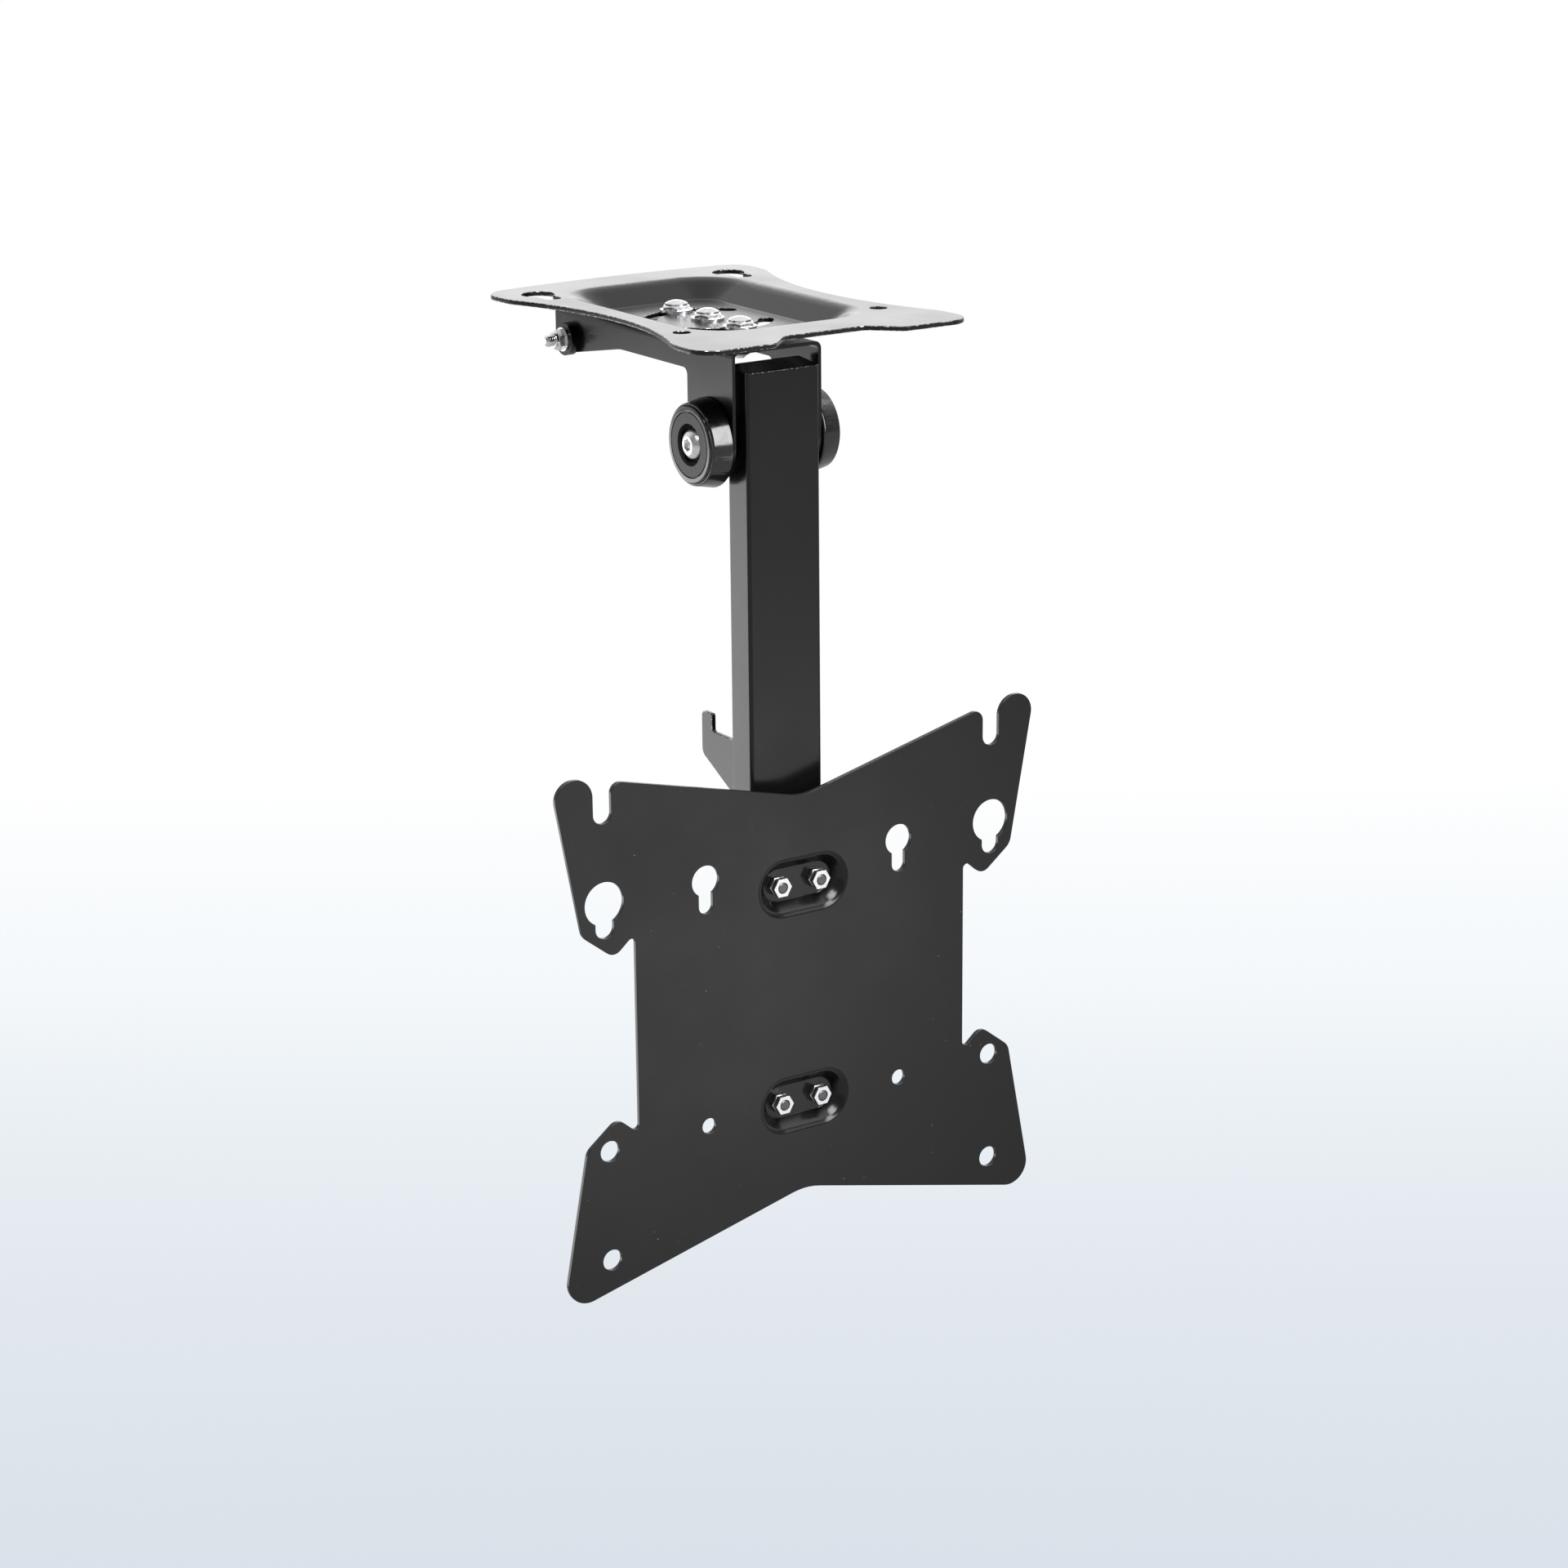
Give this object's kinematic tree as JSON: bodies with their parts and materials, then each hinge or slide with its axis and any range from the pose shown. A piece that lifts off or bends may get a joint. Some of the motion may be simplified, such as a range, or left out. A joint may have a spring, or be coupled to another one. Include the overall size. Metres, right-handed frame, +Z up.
{
  "type": "tv ceiling mount",
  "caption": "Fold-up ceiling bracket for a small flat screen: a swivelling channel, a folding tube arm with a latch hook and a butterfly-shaped screen plate.",
  "frame": {"origin": "on the swivel axis, in the plane of the ceiling plate's upper face", "axes": "+Z up against the ceiling, -Y toward the side that carries the screen, +X to the right seen from behind the arm"},
  "size_m": [0.2444, 0.1909, 0.4097],
  "materials": {
    "black_sheet": "satin black paint",
    "black_tube": "satin black paint",
    "black_screw": "black oxide",
    "zinc": "bright zinc plating",
    "knob": "high gloss",
    "disc": "matt",
    "plug": "matt",
    "nylon": "matt"
  },
  "bodies": {
    "ceiling": {"ceiling_plate": "black_sheet"},
    "channel": {"channel_bracket": "black_sheet", "swivel_bolt_front": "zinc", "swivel_washer_front": "zinc", "swivel_nut_front": "zinc", "swivel_bolt_middle": "zinc", "swivel_washer_middle": "zinc", "swivel_nut_middle": "zinc", "swivel_bolt_rear": "zinc", "swivel_washer_rear": "zinc", "swivel_nut_rear": "zinc", "slide_washer_front": "nylon", "swivel_disc": "nylon", "slide_washer_rear": "nylon", "latch_bolt": "zinc", "latch_boss_left": "black_sheet", "latch_boss_right": "black_sheet", "latch_nut": "zinc", "ear_washer_left": "nylon", "ear_washer_right": "nylon"},
    "pivot": {"pivot_screw": "zinc", "pivot_nut": "zinc", "knob_left": "knob", "knob_disc_left": "disc", "pivot_spacer_left": "zinc", "knob_right": "knob", "knob_disc_right": "disc", "pivot_spacer_right": "zinc"},
    "arm": {"arm_tube": "black_tube", "top_plug": "black_tube", "bottom_plug": "plug", "hinge_bracket": "black_sheet", "hook_plate": "black_sheet", "screen_plate": "black_sheet", "screen_spacer_upper": "black_sheet", "screen_spacer_lower": "black_sheet", "screen_bolt_upper_left": "black_screw", "jam_nut_upper_left": "zinc", "screen_nut_upper_left": "zinc", "screen_bolt_upper_right": "black_screw", "jam_nut_upper_right": "zinc", "screen_nut_upper_right": "zinc", "screen_bolt_lower_left": "black_screw", "jam_nut_lower_left": "zinc", "screen_nut_lower_left": "zinc", "screen_bolt_lower_right": "black_screw", "jam_nut_lower_right": "zinc", "screen_nut_lower_right": "zinc"}
  },
  "joints": [
    {"name": "swivel", "type": "hinge", "parent": "ceiling", "child": "channel", "pos_m": [0, 0, 0], "axis": [0, 0, 1], "range_deg": [-55, 55]},
    {"name": "fold", "type": "hinge", "parent": "channel", "child": "pivot", "pos_m": [0, -0.0356, -0.0523], "axis": [1, 0, 0], "range_deg": [-10, 90]},
    {"name": "lift", "type": "slide", "parent": "pivot", "child": "arm", "axis": [0, 0, 1], "range_m": [0, 0.003]}
  ]
}
